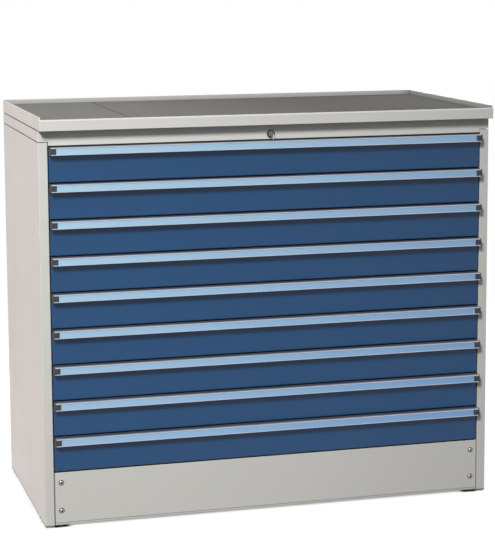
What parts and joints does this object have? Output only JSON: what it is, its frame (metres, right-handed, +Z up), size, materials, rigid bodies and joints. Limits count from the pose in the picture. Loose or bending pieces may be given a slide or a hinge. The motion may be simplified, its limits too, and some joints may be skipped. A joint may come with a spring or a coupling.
{
  "type": "drawer cabinet",
  "caption": "Wide free-standing steel cabinet of equal shallow drawers with full-width label handles, a lipped worktop with a rubber mat, a plinth and one central key lock.",
  "frame": {"origin": "on the floor, under the middle of the cabinet's footprint", "axes": "+X to the right of a person facing the drawers, +Y from the drawers to the back, +Z up"},
  "size_m": [1.3, 0.684, 1.137],
  "materials": {
    "carcass_paint": "light grey fine-texture powder coat",
    "worktop_paint": "light grey fine-texture powder coat",
    "drawer_paint": "blue fine-texture powder coat",
    "handle_aluminium": "satin anodised",
    "label_strip": "pale blue card under a clear cover",
    "cap_plastic": "dark grey moulded",
    "mat_rubber": "dark grey, finely ribbed",
    "slide_steel": "zinc plated",
    "roller_steel": "zinc plated bar with rollers",
    "screw_steel": "zinc plated",
    "foot_rubber": "black",
    "lock_nickel": "satin nickel",
    "key_nickel": "nickel plated",
    "bar_steel": "zinc plated"
  },
  "bodies": {
    "carcass": {"left_side_panel": "carcass_paint", "right_side_panel": "carcass_paint", "back_panel": "carcass_paint", "top_cover": "carcass_paint", "worktop_tray": "worktop_paint", "ribbed_mat": "mat_rubber", "base_pan": "carcass_paint", "plinth_panel": "carcass_paint", "plinth_screws": "screw_steel", "levelling_feet": "foot_rubber", "cabinet_rails": "slide_steel", "lock_housing": "lock_nickel"},
    "drawer_1": {"drawer_1_box": "drawer_paint", "drawer_1_handle": "handle_aluminium", "drawer_1_label": "label_strip", "drawer_1_end_caps": "cap_plastic"},
    "slide_1": {"slide_1_carriages": "roller_steel"},
    "drawer_2": {"drawer_2_box": "drawer_paint", "drawer_2_handle": "handle_aluminium", "drawer_2_label": "label_strip", "drawer_2_end_caps": "cap_plastic"},
    "slide_2": {"slide_2_carriages": "roller_steel"},
    "drawer_3": {"drawer_3_box": "drawer_paint", "drawer_3_handle": "handle_aluminium", "drawer_3_label": "label_strip", "drawer_3_end_caps": "cap_plastic"},
    "slide_3": {"slide_3_carriages": "roller_steel"},
    "drawer_4": {"drawer_4_box": "drawer_paint", "drawer_4_handle": "handle_aluminium", "drawer_4_label": "label_strip", "drawer_4_end_caps": "cap_plastic"},
    "slide_4": {"slide_4_carriages": "roller_steel"},
    "drawer_5": {"drawer_5_box": "drawer_paint", "drawer_5_handle": "handle_aluminium", "drawer_5_label": "label_strip", "drawer_5_end_caps": "cap_plastic"},
    "slide_5": {"slide_5_carriages": "roller_steel"},
    "drawer_6": {"drawer_6_box": "drawer_paint", "drawer_6_handle": "handle_aluminium", "drawer_6_label": "label_strip", "drawer_6_end_caps": "cap_plastic"},
    "slide_6": {"slide_6_carriages": "roller_steel"},
    "drawer_7": {"drawer_7_box": "drawer_paint", "drawer_7_handle": "handle_aluminium", "drawer_7_label": "label_strip", "drawer_7_end_caps": "cap_plastic"},
    "slide_7": {"slide_7_carriages": "roller_steel"},
    "drawer_8": {"drawer_8_box": "drawer_paint", "drawer_8_handle": "handle_aluminium", "drawer_8_label": "label_strip", "drawer_8_end_caps": "cap_plastic"},
    "slide_8": {"slide_8_carriages": "roller_steel"},
    "drawer_9": {"drawer_9_box": "drawer_paint", "drawer_9_handle": "handle_aluminium", "drawer_9_label": "label_strip", "drawer_9_end_caps": "cap_plastic"},
    "slide_9": {"slide_9_carriages": "roller_steel"},
    "lock_core": {"lock_spindle": "lock_nickel", "lock_key": "key_nickel"},
    "locking_bar": {"lock_bar": "bar_steel"}
  },
  "joints": [
    {"name": "drawer_1_slide", "type": "slide", "parent": "carcass", "child": "drawer_1", "axis": [0, -1, 0], "range_m": [0, 0.56]},
    {"name": "drawer_2_slide", "type": "slide", "parent": "carcass", "child": "drawer_2", "axis": [0, -1, 0], "range_m": [0, 0.56]},
    {"name": "drawer_3_slide", "type": "slide", "parent": "carcass", "child": "drawer_3", "axis": [0, -1, 0], "range_m": [0, 0.56]},
    {"name": "drawer_4_slide", "type": "slide", "parent": "carcass", "child": "drawer_4", "axis": [0, -1, 0], "range_m": [0, 0.56]},
    {"name": "drawer_5_slide", "type": "slide", "parent": "carcass", "child": "drawer_5", "axis": [0, -1, 0], "range_m": [0, 0.56]},
    {"name": "drawer_6_slide", "type": "slide", "parent": "carcass", "child": "drawer_6", "axis": [0, -1, 0], "range_m": [0, 0.56]},
    {"name": "drawer_7_slide", "type": "slide", "parent": "carcass", "child": "drawer_7", "axis": [0, -1, 0], "range_m": [0, 0.56]},
    {"name": "drawer_8_slide", "type": "slide", "parent": "carcass", "child": "drawer_8", "axis": [0, -1, 0], "range_m": [0, 0.56]},
    {"name": "drawer_9_slide", "type": "slide", "parent": "carcass", "child": "drawer_9", "axis": [0, -1, 0], "range_m": [0, 0.56]},
    {"name": "slide_1_travel", "type": "slide", "parent": "carcass", "child": "slide_1", "axis": [0, -1, 0], "range_m": [0, 0.28]},
    {"name": "slide_2_travel", "type": "slide", "parent": "carcass", "child": "slide_2", "axis": [0, -1, 0], "range_m": [0, 0.28]},
    {"name": "slide_3_travel", "type": "slide", "parent": "carcass", "child": "slide_3", "axis": [0, -1, 0], "range_m": [0, 0.28]},
    {"name": "slide_4_travel", "type": "slide", "parent": "carcass", "child": "slide_4", "axis": [0, -1, 0], "range_m": [0, 0.28]},
    {"name": "slide_5_travel", "type": "slide", "parent": "carcass", "child": "slide_5", "axis": [0, -1, 0], "range_m": [0, 0.28]},
    {"name": "slide_6_travel", "type": "slide", "parent": "carcass", "child": "slide_6", "axis": [0, -1, 0], "range_m": [0, 0.28]},
    {"name": "slide_7_travel", "type": "slide", "parent": "carcass", "child": "slide_7", "axis": [0, -1, 0], "range_m": [0, 0.28]},
    {"name": "slide_8_travel", "type": "slide", "parent": "carcass", "child": "slide_8", "axis": [0, -1, 0], "range_m": [0, 0.28]},
    {"name": "slide_9_travel", "type": "slide", "parent": "carcass", "child": "slide_9", "axis": [0, -1, 0], "range_m": [0, 0.28]},
    {"name": "locking_bar_lift", "type": "slide", "parent": "carcass", "child": "locking_bar", "axis": [0, 0, 1], "range_m": [0, 0.01413]},
    {"name": "key_turn", "type": "hinge", "parent": "carcass", "child": "lock_core", "pos_m": [0, -0.308, 1.072], "axis": [0, 1, 0], "range_deg": [0, 90]}
  ],
  "couplings": [
    {"joint": "slide_1_travel", "follows": "drawer_1_slide", "ratio": 0.5},
    {"joint": "slide_2_travel", "follows": "drawer_2_slide", "ratio": 0.5},
    {"joint": "slide_3_travel", "follows": "drawer_3_slide", "ratio": 0.5},
    {"joint": "slide_4_travel", "follows": "drawer_4_slide", "ratio": 0.5},
    {"joint": "slide_5_travel", "follows": "drawer_5_slide", "ratio": 0.5},
    {"joint": "slide_6_travel", "follows": "drawer_6_slide", "ratio": 0.5},
    {"joint": "slide_7_travel", "follows": "drawer_7_slide", "ratio": 0.5},
    {"joint": "slide_8_travel", "follows": "drawer_8_slide", "ratio": 0.5},
    {"joint": "slide_9_travel", "follows": "drawer_9_slide", "ratio": 0.5},
    {"joint": "key_turn", "follows": "locking_bar_lift", "rad_per_m": 111.11}
  ]
}
